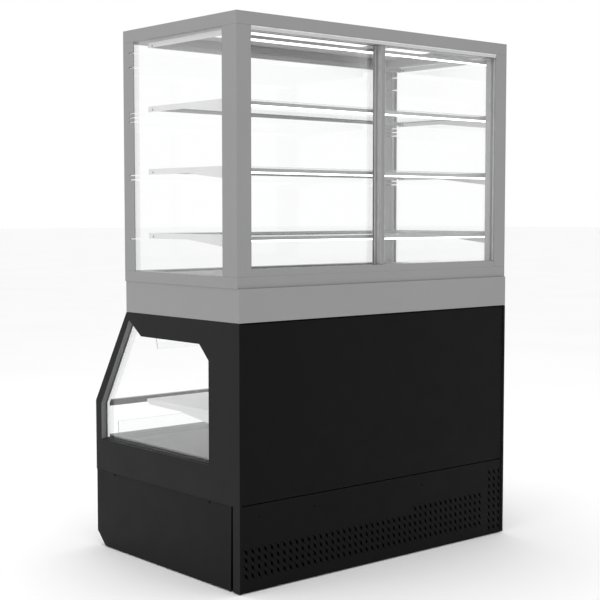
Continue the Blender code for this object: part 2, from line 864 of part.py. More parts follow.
def doors():
    """Two sliding glass doors whose stiles overlap in the middle. Each slides over the other."""
    width, thick = STILE
    reach = FRAME_X - POST - 0.002
    for side, sign in SIDES.items():
        plane = DOOR_PLANES[side]
        tip = -sign * 0.002
        glass_x = sorted((tip, sign * reach))
        glass = box(
            "door_glass_" + side,
            (glass_x[0], plane - DOOR_GLASS / 2, TRACK_TOP - 0.009),
            (glass_x[1], plane + DOOR_GLASS / 2, HEAD_Z - 0.0065),
            "glass",
        )
        stile_x = sorted((tip - sign * 0.004, tip + sign * (width - 0.004)))
        stile = box(
            "door_stile_" + side,
            (stile_x[0], plane - thick / 2, TRACK_TOP + 0.0006),
            (stile_x[1], plane + thick / 2, HEAD_Z - 0.0136),
            "frame_grey",
        )
        channel_x = sorted((tip - sign * GAP, sign * width))
        half = DOOR_GLASS / 2 + GAP
        channel = box(
            "stile_channel_" + side,
            (channel_x[0], plane - half, TRACK_TOP - 0.1),
            (channel_x[1], plane + half, HEAD_Z + 0.1),
        )
        cut(stile, channel)
        parented("door_" + side, (0.0, plane, TRACK_TOP), (glass, stile))


def shelf_frame(name, top, heights, taper, front_rail, rear_rail, kind):
    """Two brackets, deeper behind the taper, and two rails, each given as its depths below the top."""
    arm = [
        (BRACKET_FRONT, top),
        (BRACKET_FRONT, top - heights[0]),
        (taper, top - heights[0]),
        (BRACKET_REAR, top - heights[1]),
        (BRACKET_REAR, top),
    ]
    frame = as_mesh(slab(name, arm, "X", BRACKET_X - SHEET, BRACKET_X), kind)
    other = as_mesh(slab(name + "_left_arm", arm, "X", -BRACKET_X, -BRACKET_X + SHEET))
    rails = []
    for y, (high, low) in ((BRACKET_FRONT + 0.001, front_rail), (BRACKET_REAR - 0.0167, rear_rail)):
        rails.append(((-BRACKET_X + 0.001, y, top - low), (BRACKET_X - 0.001, y + RAIL_DEEP, top - high)))
    join(frame, cubes(name + "_rails", rails))
    join(frame, other)
    return frame


def shelves():
    """Glass shelves laid inside their frames, behind the front rail and over the rear one."""
    margin = 0.0005
    reach = BRACKET_X - SHEET - margin
    for level, top in enumerate(SHELF_HEIGHTS, 1):
        rails = (0.0005, 0.0130), (0.0068, 0.0175)
        shelf_frame(f"shelf_frame_{level}", top, (0.018, 0.044), SHELF_TAPER, *rails, "bracket_grey")
        pane = box(
            f"glass_shelf_{level}",
            (-reach, BRACKET_FRONT + 0.001 + RAIL_DEEP + margin, top - GAP - PANE),
            (reach, BRACKET_REAR - 0.0047, top - GAP),
            "glass",
        )
        rounded(pane, 0.0010, 1)
    rails = (0.001, 0.015), (0.0145, 0.0245)
    shelf_frame("light_frame", CANOPY_FRAME_Z, (0.016, 0.0245), LIGHT_TAPER, *rails, "frame_grey")


def upper_deck():
    margin = 0.0005
    deck = box(
        "upper_deck",
        (-FRAME_X + POST + margin, FRAME_FRONT + 0.058 + margin, PLINTH_TOP),
        (FRAME_X - POST - margin, FRAME_REAR - REAR_FLANGE - margin, SILL_TOP - 0.005),
        "frame_grey",
    )
    return rounded(deck, 0.0010, 1)


# ---------------------------------------------------------------- assembly
clear_scene()
PARTS = new_collection("refrigerated_deli_case")
CUTTERS = new_collection("cutters")
CUTTERS.hide_render = True

chassis()
for side_name, side_sign in SIDES.items():
    end_pieces(side_name, side_sign)
rear_pieces()
front_pieces()
tub()
counter_top()
air_duct()
display_deck()
lower_shelf()
evaporator()
condenser()
compressor()
condensate_pan()
controls()
plinth()
cabinet_frame()
posts()
cabinet_glass()
doors()
shelves()
upper_deck()
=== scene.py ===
"""Looks of the refrigerated deli case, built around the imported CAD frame.

Metres, +Z up, the customer on -Y.
"""

import math

import bmesh
import bpy
from mathutils import Matrix, Vector


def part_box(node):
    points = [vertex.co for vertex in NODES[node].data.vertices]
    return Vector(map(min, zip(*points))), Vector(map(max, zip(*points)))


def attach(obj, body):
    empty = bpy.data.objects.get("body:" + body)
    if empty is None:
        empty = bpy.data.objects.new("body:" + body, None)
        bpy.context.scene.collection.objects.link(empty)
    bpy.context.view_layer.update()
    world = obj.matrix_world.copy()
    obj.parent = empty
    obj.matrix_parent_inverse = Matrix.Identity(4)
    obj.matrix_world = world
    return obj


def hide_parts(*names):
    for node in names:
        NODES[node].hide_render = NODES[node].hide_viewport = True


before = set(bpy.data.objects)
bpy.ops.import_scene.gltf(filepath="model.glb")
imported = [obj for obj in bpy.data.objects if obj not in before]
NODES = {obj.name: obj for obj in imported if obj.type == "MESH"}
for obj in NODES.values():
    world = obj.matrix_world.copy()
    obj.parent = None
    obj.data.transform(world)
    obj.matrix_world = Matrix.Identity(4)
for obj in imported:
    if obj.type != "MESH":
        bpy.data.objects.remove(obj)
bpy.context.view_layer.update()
CASE = "case"
SIDES = {"left": -1.0, "right": 1.0}
RAILED_FRAMES = ("light_frame", "shelf_frame_1", "shelf_frame_2", "shelf_frame_3")
SHEET = 0.0012
BRACKET_THICKNESS = 0.003
# how far the inner faces of the shelf brackets stand from the middle of the case
BRACKET_FACE_X = 0.5716


# ---------------------------------------------------------------- node materials
class Surface:
    """A material under construction: its node tree, and short ways to add nodes to it."""

    def __init__(self, name):
        self.material = bpy.data.materials.new(name)
        self.material.use_nodes = True
        self.tree = self.material.node_tree
        self.tree.nodes.clear()
        self.output = self.tree.nodes.new("ShaderNodeOutputMaterial")
        self.position = self.add("TexCoord").outputs["Object"]

    def add(self, kind, values=None, **settings):
        node = self.tree.nodes.new("ShaderNode" + kind)
        for name, value in settings.items():
            setattr(node, name, value)
        for socket, value in (values or {}).items():
            self.put(node.inputs[socket], value)
        return node

    def put(self, socket, value):
        if isinstance(value, bpy.types.NodeSocket):
            self.tree.links.new(value, socket)
        elif isinstance(value, tuple) and len(value) == 3 and socket.type == "RGBA":
            socket.default_value = (*value, 1.0)
        else:
            socket.default_value = value

    def noise(self, scale, detail=2.0, stretch=None):
        place = self.position
        if stretch:
            place = self.add("Mapping", {"Vector": place, "Scale": stretch}).outputs["Vector"]
        values = {"Vector": place, "Scale": scale, "Detail": detail}
        return self.add("TexNoise", values).outputs["Fac"]

    def remap(self, value, low, high, start=0.3, end=0.7):
        values = {"Value": value, "From Min": start, "From Max": end, "To Min": low, "To Max": high}
        return self.add("MapRange", values).outputs["Result"]

    def blend(self, factor, first, second):
        node = self.add("Mix", data_type="RGBA")
        for index, value in ((0, factor), (6, first), (7, second)):
            self.put(node.inputs[index], value)
        return node.outputs[2]

    def math(self, operation, first, second=0.0):
        return self.add("Math", {0: first, 1: second}, operation=operation).outputs[0]

    def bump(self, height, distance, strength=0.5):
        values = {"Height": height, "Distance": distance, "Strength": strength}
        return self.add("Bump", values).outputs["Normal"]

    def axis(self, name):
        return self.add("SeparateXYZ", {"Vector": self.position}).outputs[name]

    def facing(self, name):
        """1 on faces that look along the axis, either way, and 0 on the rest."""
        normal = self.add("NewGeometry").outputs["Normal"]
        along = self.add("SeparateXYZ", {"Vector": normal}).outputs[name]
        return self.math("GREATER_THAN", self.math("ABSOLUTE", along), 0.7)

    def principled(self, **values):
        return self.add("BsdfPrincipled", {k.replace("_", " "): v for k, v in values.items()})

    def done(self, shader):
        self.tree.links.new(shader.outputs[0], self.output.inputs["Surface"])
        return self.material


def between_brackets(surface):
    """1 on the rails of a shelf frame, which run between its two brackets."""
    return surface.math("LESS_THAN", surface.math("ABSOLUTE", surface.axis("X")), BRACKET_FACE_X)


# painted shade: faces that look along Y, on which the black end panels, front panel and skirts are painted
# darker
def rear_or_front_shade(surface):
    return surface.facing("Y")


# faces that look along X; the stiles and the left rear post are painted lighter there as painted light, the
# deck angles darker as painted shade
def sideways(surface):
    return surface.facing("X")


def sill(surface):
    """1 along the bottom edge of the end windows."""
    sill_height = 0.003
    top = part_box("end_window_right")[0][2] + sill_height
    return surface.math("LESS_THAN", surface.axis("Z"), top)


# the glazing tape is painted near-white on these faces as painted light
def outward(surface):
    """1 on faces that look away from the middle of the case, along X."""
    normal = surface.add("NewGeometry").outputs["Normal"]
    along = surface.add("SeparateXYZ", {"Vector": normal}).outputs["X"]
    return surface.math("GREATER_THAN", surface.math("MULTIPLY", along, surface.axis("X")), 0.3)


def shade(colour, factor):
    return tuple(min(channel * factor, 1.0) for channel in colour)


def painted(name, colour, roughness, specular=0.5, mottle=0.05, second=None, where=None, glow=0.0):
    """Powder-coated steel. The second colour shows where the given function of the surface is 1; most
    materials here use it for painted shade or painted light on some faces. Glow makes the paint shine as a
    painted glow.
    """
    grain = 0.00003
    s = Surface(name)
    broad = s.remap(s.noise(2.3, 3.0), 0.0, 1.0)
    base = s.blend(broad, shade(colour, 1.0 - mottle), shade(colour, 1.0 + mottle))
    if second:
        other = s.blend(broad, shade(second, 1.0 - mottle), shade(second, 1.0 + mottle))
        base = s.blend(where(s), base, other)
    rough = s.remap(s.noise(16.0, 3.0), roughness - 0.05, roughness + 0.05)
    shader = s.principled(Base_Color=base, Roughness=rough, Normal=s.bump(s.noise(1100.0), grain))
    shader.inputs["Specular IOR Level"].default_value = specular
    if glow:
        s.put(shader.inputs["Emission Color"], base)
        shader.inputs["Emission Strength"].default_value = glow
    return s.done(shader)


def brushed(name, colour, roughness, stretch):
    """Rolled or brushed metal with its grain across the stretched directions."""
    depth = 0.00002
    s = Surface(name)
    lines = s.noise(1.0, 4.0, stretch)
    base = s.blend(s.remap(lines, 0.0, 1.0), shade(colour, 0.90), shade(colour, 1.06))
    rough = s.remap(lines, roughness - 0.07, roughness + 0.07)
    shader = s.principled(Base_Color=base, Roughness=rough, Normal=s.bump(lines, depth))
    shader.inputs["Metallic"].default_value = 1.0
    return s.done(shader)


def galvanised(name, colour, roughness):
    """Zinc-coated sheet, with its crystals."""
    s = Surface(name)
    cells = s.add("TexVoronoi", {"Vector": s.position, "Scale": 90.0}).outputs["Color"]
    grey = s.add("SeparateColor", {"Color": cells}).outputs[0]
    base = s.blend(grey, shade(colour, 0.82), shade(colour, 1.08))
    rough = s.remap(grey, roughness - 0.08, roughness + 0.08, 0.0, 1.0)
    shader = s.principled(Base_Color=base, Roughness=rough)
    shader.inputs["Metallic"].default_value = 1.0
    return s.done(shader)


def plastic(name, colour, roughness, grain=0.00005, scale=800.0):
    """Moulded plastic or rubber with a fine grain."""
    s = Surface(name)
    base = s.blend(s.remap(s.noise(30.0, 3.0), 0.0, 1.0), shade(colour, 0.88), shade(colour, 1.12))
    rough = s.remap(s.noise(60.0), roughness - 0.05, roughness + 0.05)
    shader = s.principled(Base_Color=base, Roughness=rough, Normal=s.bump(s.noise(scale), grain))
    return s.done(shader)


def clear(name, axis, edge, edge_alpha, film=(0.997, 0.999, 0.998)):
    """A coated clear pane that is thin along the axis. Its cut edges show the colour of the body."""
    s = Surface(name)
    through = s.add("BsdfTransparent", {"Color": film})
    gloss = s.add("BsdfGlossy", {"Color": (1.0, 1.0, 1.0), "Roughness": 0.03})
    mirror = s.math("MULTIPLY", s.add("Fresnel", {"IOR": 1.45}).outputs[0], 0.2)
    pane = s.add("MixShader", {0: mirror, 1: through.outputs[0], 2: gloss.outputs[0]})
    haze = s.blend(s.remap(s.noise(120.0), 0.0, 1.0), shade(edge, 0.9), shade(edge, 1.1))
    rim = s.principled(Base_Color=haze, Roughness=0.2)
    rim.inputs["Alpha"].default_value = edge_alpha
    return s.done(s.add("MixShader", {0: s.facing(axis), 1: rim.outputs[0], 2: pane.outputs[0]}))


def lamp(name, colour, strength):
    """Opal cover of an LED strip. The diodes behind it show faintly."""
    s = Surface(name)
    diode_pitch = 0.0125
    dots = s.math("SINE", s.math("MULTIPLY", s.axis("X"), 2.0 * math.pi / diode_pitch))
    glow = s.blend(s.remap(dots, 0.0, 1.0, -1.0, 1.0), shade(colour, 0.93), colour)
    shader = s.principled(Base_Color=glow, Roughness=0.4, Emission_Color=glow)
    shader.inputs["Emission Strength"].default_value = strength
    return s.done(shader)


GREY = (0.270, 0.270, 0.271)
FRAME_GREY = painted("frame_grey_paint", GREY, 0.42, 0.25, mottle=0.025)
# near-black: the rear panel's and grilles' own black, and painted shade on the rear and front faces of the
# black panels and skirts
BLACK_AND_SHADE = (0.0036, 0.0036, 0.0037)
PANEL_BLACK = painted(
    "panel_black_paint", (0.0150, 0.0150, 0.0152), 0.44, 0.07, second=BLACK_AND_SHADE, where=rear_or_front_shade
)
SKIRT_BLACK = painted(
    "skirt_black_paint", (0.0092, 0.0092, 0.0094), 0.44, 0.07, second=BLACK_AND_SHADE, where=rear_or_front_shade
)
# black of the rear panel and grilles, partly their own black and partly painted shade: darker than the end
# panels, as the rear side falls in shade
GRILLE_BLACK = painted("grille_black_paint", BLACK_AND_SHADE, 0.50, 0.07)
BRACKET = painted("bracket_paint", (0.70, 0.70, 0.70), 0.40, 0.4)
# the brackets are white; the rails between them are grey, painted lighter than the frame grey as painted
# light against the shade between the shelves
SHELF_FRAME = painted(
    "shelf_frame_paint", (0.68, 0.68, 0.675), 0.40, 0.4, second=(0.34, 0.34, 0.34), where=between_brackets
)
# painted light: the inner door stile is painted lighter than the frame grey, and lighter still on its faces
# that look along X, to lift the shade behind the outer door
STILE_GREY = painted(
    "stile_grey_paint", (0.40, 0.40, 0.40), 0.42, 0.25, 0.025, second=(0.66, 0.66, 0.66), where=sideways
)
# painted light: the outer door stile's faces that look along X are painted lighter than its rear face
OUTER_STILE = painted(
    "outer_stile_paint", GREY, 0.42, 0.25, 0.025, second=(0.40, 0.40, 0.40), where=sideways
)
# painted light: the left rear post's faces that look along X are painted lighter than its rear face
POST_GREY = painted(
    "rear_post_paint", GREY, 0.42, 0.25, 0.025, second=(0.36, 0.36, 0.36), where=sideways
)
CEILING_GREY = painted("ceiling_paint", (0.56, 0.56, 0.56), 0.45, 0.25, mottle=0.025)
# painted light: the head lining is painted lighter than the frame grey, to lift the shade on the top frame's
# inner faces
LINING_GREY = painted("lining_grey_paint", (0.42, 0.42, 0.42), 0.45, 0.25, mottle=0.025)
LINER = painted("liner_paint", (0.86, 0.865, 0.865), 0.38, 0.5, mottle=0.02)
DECK_STEEL = brushed("deck_steel_brushed", (0.070, 0.070, 0.072), 0.36, (6.0, 900.0, 900.0))
GRILLE_STEEL = brushed("grille_steel_brushed", (0.24, 0.24, 0.245), 0.36, (6.0, 900.0, 900.0))
ALUMINIUM = brushed("aluminium_rolled", (0.58, 0.58, 0.59), 0.36, (8.0, 700.0, 700.0))
FINS = brushed("aluminium_fins", (0.72, 0.73, 0.74), 0.42, (700.0, 30.0, 700.0))
GALVANISED = galvanised("galvanised_sheet", (0.50, 0.51, 0.52), 0.42)
COPPER = brushed("copper_tube", (0.72, 0.34, 0.20), 0.30, (60.0, 60.0, 60.0))
BLACK_PLASTIC = plastic("black_plastic_moulded", (0.018, 0.018, 0.018), 0.42)
COMPRESSOR = painted("compressor_enamel", (0.010, 0.010, 0.010), 0.22, 0.5)
RUBBER = plastic("rubber_moulded", (0.020, 0.020, 0.020), 0.78, 0.0001, 500.0)
GASKET = plastic("gasket_black", (0.030, 0.030, 0.030), 0.60)
BEAD = painted("glazing_bead_paint", (0.22, 0.22, 0.22), 0.45, 0.25)
# painted light: the window trim glows white though it is no lamp; along the sill it is near-black
TRIM = painted(
    "trim_painted_glow", (0.95, 0.95, 0.95), 0.45, 0.3, second=(0.05, 0.05, 0.05), where=sill, glow=0.5
)
# painted shade: the deck angles are near-black on their faces that look along X
ANGLE = painted(
    "deck_angle_paint", (0.20, 0.20, 0.20), 0.45, 0.2, second=(0.02, 0.02, 0.02), where=sideways
)
RAIL = painted("glass_rail_paint", (0.105, 0.105, 0.106), 0.45, 0.25)
SCREW = painted("screw_black_oxide", (0.0035, 0.0035, 0.0035), 0.55, 0.05)
RIVET = brushed("rivet_steel", (0.20, 0.20, 0.20), 0.40, (200.0, 200.0, 200.0))
# painted highlight: the pale head seal stands for the bright edge along the top of the door track
SEAL_PALE = plastic("seal_strip_pale", (0.66, 0.66, 0.66), 0.60)
# painted light: the tape is near-white on its faces that look away from the middle, as light in the shaded
# glazing channel, and grey on the others
TAPE = painted(
    "glazing_tape_faced", (0.33, 0.33, 0.33), 0.60, second=(0.97, 0.97, 0.97), where=outward
)
BRUSH_SEAL = plastic("brush_seal_grey", (0.50, 0.50, 0.50), 0.70)
LAMP = lamp("lamp_opal", (1.0, 0.985, 0.955), 2.6)
CEILING_LAMP = lamp("ceiling_lamp_opal", (1.0, 0.995, 0.985), 0.85)
GLASS_EDGE = (0.45, 0.55, 0.52)
GLASS = {axis: clear("clear_glass_" + axis.lower(), axis, GLASS_EDGE, 0.35) for axis in "XYZ"}
ACRYLIC = clear("clear_acrylic_y", "Y", (0.26, 0.27, 0.27), 0.90, (0.985, 0.988, 0.988))

CARRIED = {
    "base_housing": FRAME_GREY, "bottom_frame": FRAME_GREY, "top_frame": FRAME_GREY,
    "front_post_left": FRAME_GREY, "front_post_right": FRAME_GREY,
    "rear_post_left": POST_GREY, "rear_post_right": FRAME_GREY,
    "door_stile_left": OUTER_STILE, "door_stile_right": STILE_GREY,
    "upper_deck": FRAME_GREY, "front_glass_rail": RAIL,
    "end_panel_left": PANEL_BLACK, "end_panel_right": PANEL_BLACK,
    "end_skirt_left": SKIRT_BLACK, "end_skirt_right": SKIRT_BLACK,
    "front_panel": PANEL_BLACK, "counter_top": PANEL_BLACK,
    "rear_panel": GRILLE_BLACK, "kick_grille": GRILLE_BLACK,
    "lower_shelf": BRACKET, "light_frame": SHELF_FRAME,
    "shelf_frame_1": SHELF_FRAME, "shelf_frame_2": SHELF_FRAME, "shelf_frame_3": SHELF_FRAME,
    "tub": LINER, "evaporator_fan_plate": LINER, "deck_pan": DECK_STEEL,
    "condenser_shroud": GALVANISED, "chassis": GALVANISED, "control_box": GALVANISED,
    "door_track_top": ALUMINIUM,
    "condenser_fan": BLACK_PLASTIC, "evaporator_fan_left": BLACK_PLASTIC,
    "evaporator_fan_right": BLACK_PLASTIC, "condensate_pan": BLACK_PLASTIC,
    "power_switch": BLACK_PLASTIC, "compressor": COMPRESSOR,
    "foot_front_left": RUBBER, "foot_front_right": RUBBER,
    "foot_rear_left": RUBBER, "foot_rear_right": RUBBER,
    "front_glass_lower": GLASS["Y"], "front_glass_upper": GLASS["Y"],
    "door_glass_left": GLASS["Y"], "door_glass_right": GLASS["Y"],
    "end_glass_left": GLASS["X"], "end_glass_right": GLASS["X"],
    "end_window_left": GLASS["X"], "end_window_right": GLASS["X"],
    "glass_shelf_1": GLASS["Z"], "glass_shelf_2": GLASS["Z"], "glass_shelf_3": GLASS["Z"],
    "air_deflector": ACRYLIC, "product_riser": ACRYLIC,
}

WELD_REACH = 0.00001
# how far the edges of folded sheet, extrusions and mouldings are rounded
EDGES = {
    "base_housing": 0.0004, "bottom_frame": 0.0003, "top_frame": 0.0003,
    "rear_post_left": 0.0003, "rear_post_right": 0.0003,
    "end_panel_left": 0.0005, "end_panel_right": 0.0005,
    "end_skirt_left": 0.0005, "end_skirt_right": 0.0005,
    "kick_grille": 0.0006, "front_glass_rail": 0.0008, "lower_shelf": 0.0008,
    "door_stile_left": 0.0006, "door_stile_right": 0.0006, "chassis": 0.0015,
    "control_box": 0.0010, "condensate_pan": 0.0008, "tub": 0.0015, "door_track_top": 0.0004,
}


def finish_nodes():
    """Gives every CAD node that stays visible its material, and rounds the edges of those listed."""
    for name, material in CARRIED.items():
        node = NODES[name]
        node.data.materials.clear()
        node.data.materials.append(material)
    for name, width in EDGES.items():
        weld = NODES[name].modifiers.new("weld", "WELD")
        weld.merge_threshold = WELD_REACH
        bevel = NODES[name].modifiers.new("edges", "BEVEL")
        bevel.width = width
        bevel.segments = 2
        bevel.limit_method = "ANGLE"
        bevel.angle_limit = math.radians(40)


# ---------------------------------------------------------------- shapes
def piece(name, bm, material, body=CASE, bevel=0.0, smooth=None, replaced=()):
    """Makes the mesh a visible piece that rides on its body and takes the given material."""
    mesh = bpy.data.meshes.new(name)
    bmesh.ops.recalc_face_normals(bm, faces=bm.faces)
    bm.to_mesh(mesh)
    bm.free()
    mesh.materials.append(material)
    obj = bpy.data.objects.new(name, mesh)
    bpy.context.scene.collection.objects.link(obj)
    if smooth is not None:
        mesh.shade_smooth()
        mesh.set_sharp_from_angle(angle=math.radians(smooth))
    if bevel:
        modifier = obj.modifiers.new("edges", "BEVEL")
        modifier.width = bevel
        modifier.segments = 2
        modifier.limit_method = "ANGLE"
    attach(obj, body)
    if replaced:
        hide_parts(*replaced)
    return obj


def thicken(obj, thickness, offset=-1.0):
    """Gives the sheet its thickness, behind its faces, or in front of them where the offset is 1."""
    solid = obj.modifiers.new("sheet", "SOLIDIFY")
    solid.thickness = thickness
    solid.offset = offset
    solid.use_even_offset = True


def block(bm, low, high):
    """Adds a box between two corners to the mesh."""
    size = [b - a for a, b in zip(low, high)]
    centre = (Vector(low) + Vector(high)) / 2
    bmesh.ops.create_cube(bm, size=1.0, matrix=Matrix.LocRotScale(centre, None, size))


def prism(bm, section, low, high, place):
    """A closed section of (u, v) points, drawn from low to high along the third axis by place(u, v, w)."""
    ends = [[bm.verts.new(place(u, v, w)) for u, v in section] for w in (low, high)]
    count = len(section)
    for i in range(count):
        j = (i + 1) % count
        bm.faces.new((ends[0][i], ends[0][j], ends[1][j], ends[1][i]))
    bm.faces.new(ends[0][::-1])
    bm.faces.new(ends[1])


def along_x(u, v, w):
    """Places a section of (y, z) points for prism()."""
    return (w, u, v)


def along_z(u, v, w):
    """Places a section of (x, y) points for prism()."""
    return (u, v, w)


def brush(back, base, front, start, end, rows):
    """Section of a brush strip: a carrier from back to base, with rows of bristles that reach to front."""
    pitch = (end - start) / rows
    gap = 0.12 * pitch
    outline = [(start, back), (start, base)]
    for i in range(rows):
        left, right = start + i * pitch + gap, start + (i + 1) * pitch - gap
        outline += [(left, base), (left, front), (right, front), (right, base)]
    return outline + [(end, base), (end, back)]


def ring(bm, outer, inner, low, high, place):
    """A closed band between two outlines with as many points."""
    count = len(outer)
    loops = [
        [bm.verts.new(place(u, v, w)) for u, v in outline]
        for outline, w in ((outer, low), (outer, high), (inner, high), (inner, low))
    ]
    for a, b in zip(loops, loops[1:] + loops[:1]):
        for i in range(count):
            j = (i + 1) % count
            bm.faces.new((a[i], a[j], b[j], b[i]))


def inset(outline, distance):
    """The counter-clockwise outline moved inward, with mitred corners."""
    moved = []
    count = len(outline)
    for i, point in enumerate(outline):
        before = Vector(point) - Vector(outline[i - 1])
        after = Vector(outline[(i + 1) % count]) - Vector(point)
        normals = [Vector((-edge.y, edge.x)).normalized() for edge in (before, after)]
        mitre = (normals[0] + normals[1]).normalized()
        moved.append(tuple(Vector(point) + mitre * distance / mitre.dot(normals[0])))
    return moved


def perforate(bm, us, vs, holes, radius, sides, place):
    """A flat sheet on the grid of lines us by vs, with a round hole at holes[(i, j)] = (u, v).

    Returns the edges of the sheet's rim.
    """
    corners = [[bm.verts.new(place(u, v)) for v in vs] for u in us]
    quarter, first_turn = sides // 4, math.radians(-135)
    turns = [first_turn + 2 * math.pi * k / sides for k in range(sides)]
    for i in range(len(us) - 1):
        for j in range(len(vs) - 1):
            cell = (corners[i][j], corners[i + 1][j], corners[i + 1][j + 1], corners[i][j + 1])
            if (i, j) not in holes:
                bm.faces.new(cell)
                continue
            u, v = holes[(i, j)]
            edge = [
                bm.verts.new(place(u + radius * math.cos(t), v + radius * math.sin(t))) for t in turns
            ]
            for k in range(4):
                arc = [edge[(k * quarter + m) % sides] for m in range(quarter + 1)]
                bm.faces.new([cell[k], cell[(k + 1) % 4]] + arc[::-1])
    last_u, last_v = len(us) - 1, len(vs) - 1
    rim = {
        vert
        for i, column in enumerate(corners)
        for j, vert in enumerate(column)
        if i in (0, last_u) or j in (0, last_v)
    }
    return [edge for edge in bm.edges if edge.is_boundary and set(edge.verts) <= rim]


def fold(bm, rim, shift):
    """Folds a flange from the rim edges of a sheet."""
    made = bmesh.ops.extrude_edge_only(bm, edges=rim)["geom"]
    verts = [item for item in made if isinstance(item, bmesh.types.BMVert)]
    bmesh.ops.translate(bm, verts=verts, vec=shift)


def steps(low, high, pitch):
    """Lines from low to high, evenly spaced at about the pitch."""
    count = max(1, round((high - low) / pitch))
    return [low + (high - low) * i / count for i in range(count + 1)]


def pipe_curve(name, radius):
    """A round copper pipe that has no course yet."""
    curve = bpy.data.curves.new(name, "CURVE")
    curve.dimensions = "3D"
    curve.bevel_depth = radius
    curve.bevel_resolution = 2
    curve.use_fill_caps = True
    curve.materials.append(COPPER)
    return curve


def fit_pipe(curve):
    """Makes the finished curve a visible pipe that rides on the case."""
    obj = bpy.data.objects.new(curve.name, curve)
    bpy.context.scene.collection.objects.link(obj)
    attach(obj, CASE)


def tube(name, points, radius):
    """A bent pipe along a smooth curve through the points."""
    curve = pipe_curve(name, radius)
    curve.resolution_u = 8
    spline = curve.splines.new("BEZIER")
    spline.bezier_points.add(len(points) - 1)
    for point, place in zip(spline.bezier_points, points):
        point.co = place
        point.handle_left_type = point.handle_right_type = "AUTO"
    fit_pipe(curve)


def revolve(bm, profile, centre, direction, sides):
    """A closed solid turned from (radius, height) points, on an axis from the centre along the direction."""
    turn = Vector((0, 0, 1)).rotation_difference(Vector(direction)).to_matrix().to_4x4()
    place = Matrix.Translation(Vector(centre)) @ turn
    turns = [2 * math.pi * k / sides for k in range(sides)]
    loops = [
        [bm.verts.new(place @ Vector((r * math.cos(t), r * math.sin(t), h))) for t in turns]
        for r, h in profile
    ]
    for a, b in zip(loops, loops[1:]):
        for k in range(sides):
            m = (k + 1) % sides
            bm.faces.new((a[k], a[m], b[m], b[k]))
    bm.faces.new(loops[0][::-1])
    bm.faces.new(loops[-1])


def dome(bm, centre, direction, radius, height, recess=0.0):
    """A low domed head on a surface that looks along the direction, with a socket if it has a recess."""
    profile = [
        (radius, 0.0), (radius, height * 0.35), (radius * 0.86, height * 0.78), (radius * 0.55, height),
    ]
    if recess:
        socket = radius * 0.42
        profile += [(socket, height), (socket, height - recess)]
    revolve(bm, profile, centre, direction, 18)


# ---------------------------------------------------------------- rear grille and perforated sheets
def rear_grille():
    """Folded sheet with the vent field: a long band, taller on the left of the case, and a tall block."""
    low, high = (Vector(corner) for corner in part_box("rear_grille"))
    pitch, radius, sides = 0.02515, 0.0046, 16
    side_margin, bottom_margin = 0.0172, 0.0238
    columns, rows = 47, 9
    band_columns, step_column, block_column = 43, 29, 44
    band_rows, step_row = (1, 2, 3, 4), 5
    first_x, first_z = high.x - side_margin, low.z + bottom_margin
    us = [high.x] + [first_x - pitch * (i + 0.5) for i in range(columns - 1)] + [low.x]
    vs = [low.z] + [first_z + pitch * (j - 0.5) for j in range(rows + 1)] + [high.z]
    holes = {}
    for i in range(columns):
        for j in range(rows):
            band = i < band_columns and (j in band_rows or (j == step_row and i >= step_column))
            if band or i >= block_column:
                holes[(i, j + 1)] = (first_x - pitch * i, first_z + pitch * j)
    bm = bmesh.new()
    rim = perforate(bm, us, vs, holes, radius, sides, lambda u, v: (u, high.y, v))
    fold(bm, rim, Vector((0, low.y - high.y, 0)))
    obj = piece("rear_grille_sheet", bm, GRILLE_BLACK, replaced=["rear_grille"])
    thicken(obj, SHEET)


def flat_grille(name, node, pitch, radius, margin, material, flat):
    """A perforated sheet in place of a node, in the XY plane ("Z") or the XZ plane ("Y")."""
    sides = 12
    low, high = (Vector(corner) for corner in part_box(node))
    v_low, v_high = (low.y, high.y) if flat == "Z" else (low.z, high.z)
    us = [low.x] + steps(low.x + margin, high.x - margin, pitch) + [high.x]
    vs = [v_low] + steps(v_low + margin, v_high - margin, pitch) + [v_high]
    holes = {}
    for i in range(1, len(us) - 2):
        for j in range(1, len(vs) - 2):
            holes[(i, j)] = ((us[i] + us[i + 1]) / 2, (vs[j] + vs[j + 1]) / 2)
    if flat == "Z":
        place, shift = (lambda u, v: (u, v, high.z)), Vector((0, 0, low.z - high.z))
    else:
        place, shift = (lambda u, v: (u, low.y, v)), Vector((0, high.y - low.y, 0))
    bm = bmesh.new()
    rim = perforate(bm, us, vs, holes, radius, sides, place)
    fold(bm, rim, shift)
    thicken(piece(name, bm, material, replaced=[node]), SHEET)


def canopy():
    """Duct sheet over the display, with a honeycomb in its sloped outlet."""
    low, high = (Vector(corner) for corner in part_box("canopy"))
    sheet, outlet_depth = 0.003, 0.0665
    lip_y, lip_z = low.y + outlet_depth, low.z
    lip_run, lip_rise, lip_turn = 0.004, 0.0029, 0.0012
    section = [
        (lip_y - lip_run, lip_z + lip_rise), (lip_y, lip_z), (high.y, low.z), (high.y, low.z + sheet),
        (lip_y + lip_turn, lip_z + sheet), (lip_y - lip_run + lip_turn, lip_z + lip_rise + sheet * 0.8),
    ]
    bm = bmesh.new()
    prism(bm, section, low.x, high.x, along_x)
    piece("duct_sheet", bm, LINER, bevel=0.0004, replaced=["canopy"])
    honeycomb(low, high, lip_y, lip_z)


